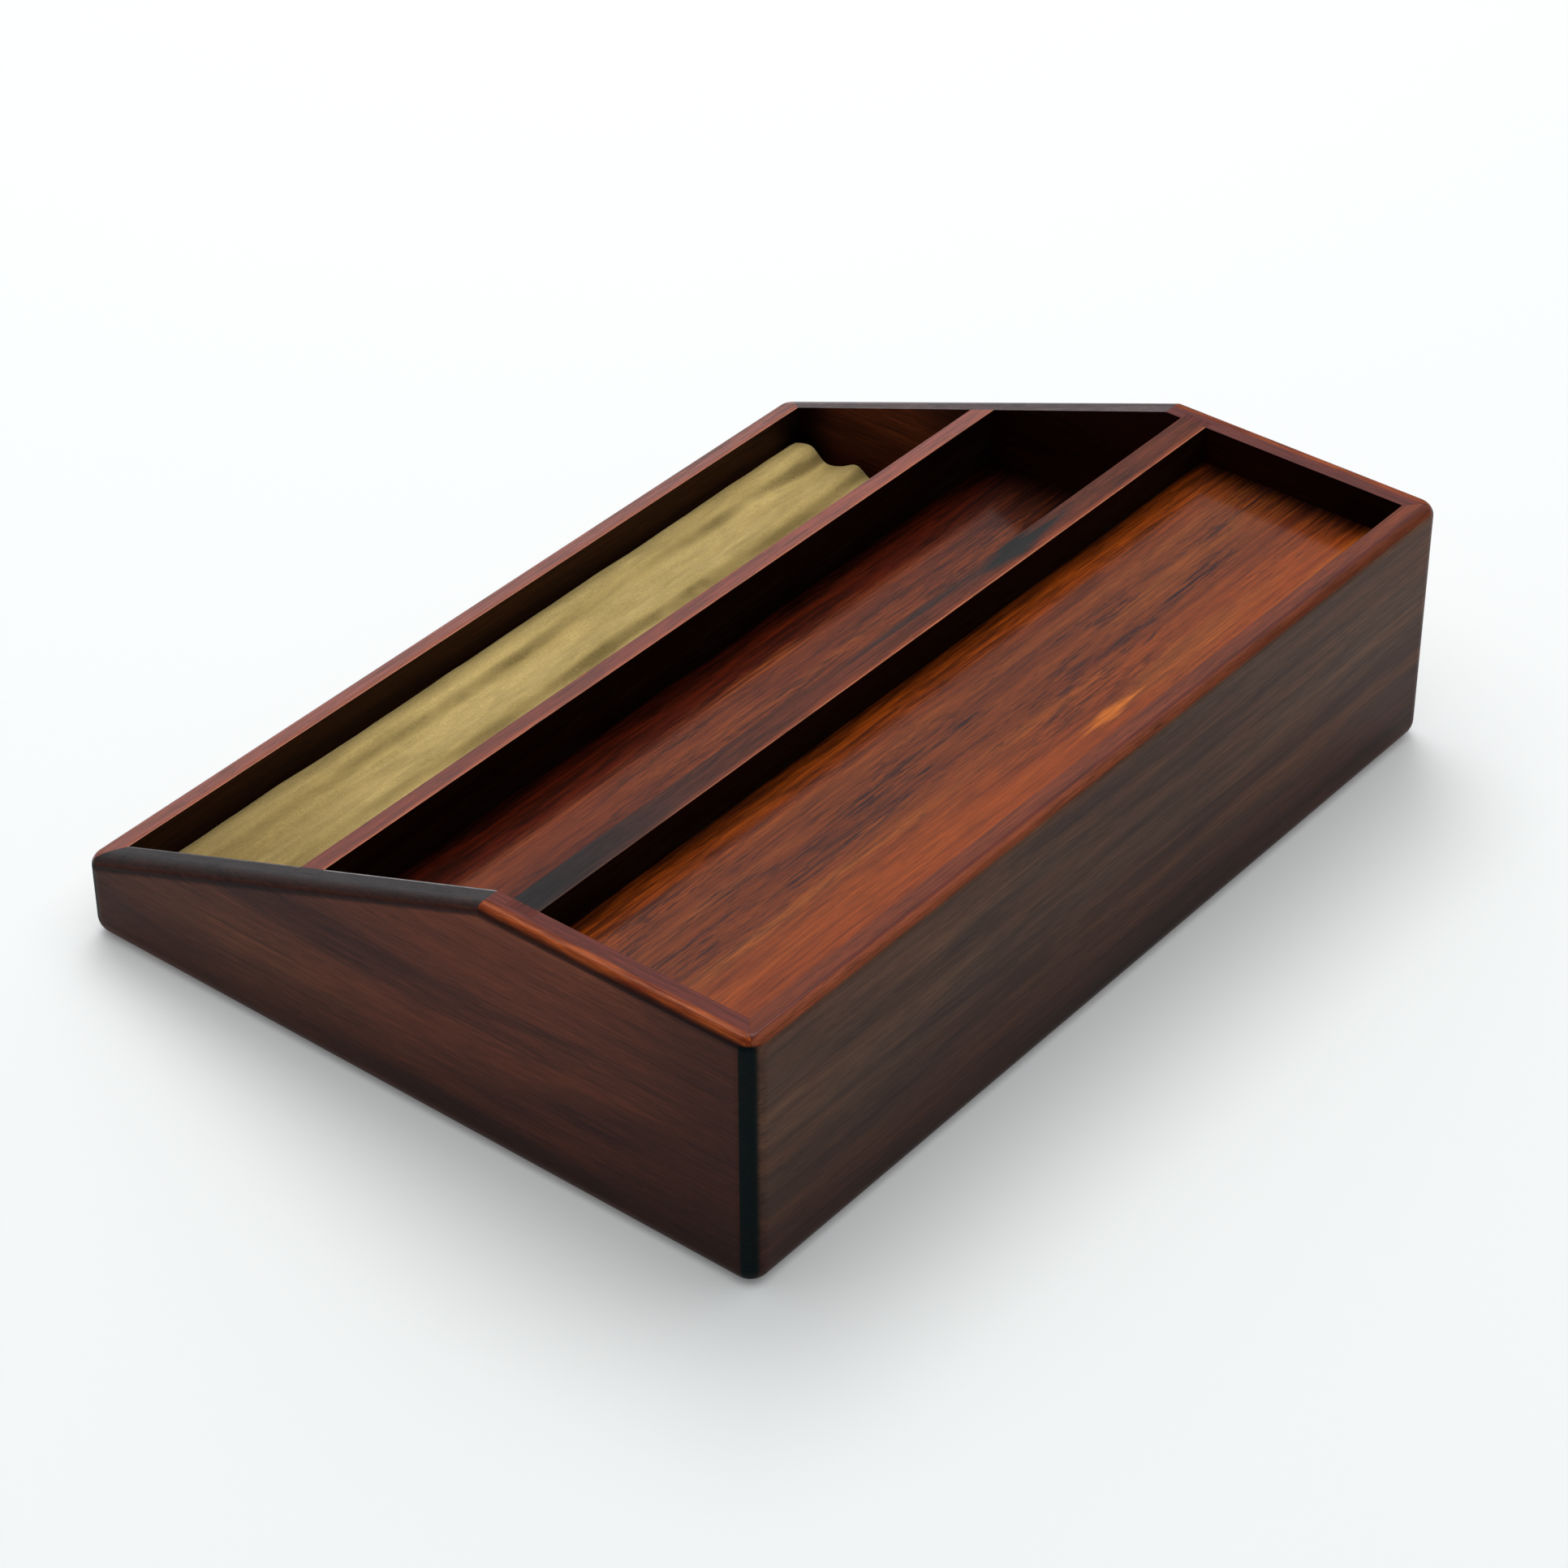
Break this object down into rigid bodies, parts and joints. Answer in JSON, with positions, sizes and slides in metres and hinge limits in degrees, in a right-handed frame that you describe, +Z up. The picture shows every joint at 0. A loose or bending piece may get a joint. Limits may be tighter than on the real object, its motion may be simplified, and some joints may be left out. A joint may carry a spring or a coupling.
{
  "type": "stepped fountain pen desk tray",
  "caption": "Open stepped desk tray for fountain pens in dark lacquered wood, with bays at rising heights and a loose ribbed suede pad in the lowest bay.",
  "frame": {"origin": "centre of the base, on the surface that the tray stands on", "axes": "+X along the bays towards the right end panel, +Y from the low front to the tall back, +Z up"},
  "size_m": [0.233, 0.178, 0.06],
  "materials": {
    "end_wood": "dark red-brown hardwood under a satin-gloss lacquer, grain from front to back",
    "long_wood": "dark red-brown hardwood under a satin-gloss lacquer, grain along the tray",
    "floor_wood": "warm red-brown hardwood with dark and orange streaks under a satin lacquer, grain along the tray",
    "base_wood": "plain sealed plywood",
    "felt": "dense pressed felt",
    "pad_board": "stiff grey board",
    "pad_foam": "firm moulded wadding",
    "suede": "khaki suede with a soft brushed nap"
  },
  "bodies": {
    "case": {"left_end_panel": "end_wood", "right_end_panel": "end_wood", "back_panel": "long_wood", "front_panel": "long_wood", "upper_divider": "long_wood", "lower_divider": "long_wood", "upper_floor": "floor_wood", "middle_floor": "floor_wood", "base_board": "base_wood", "base_felt": "felt"},
    "pen_pad": {"pad_board": "pad_board", "pad_core": "pad_foam", "pad_cover": "suede"}
  },
  "joints": [
    {"name": "pad_lift", "type": "slide", "parent": "case", "child": "pen_pad", "axis": [0, 0, 1], "range_m": [0, 0.05]}
  ]
}
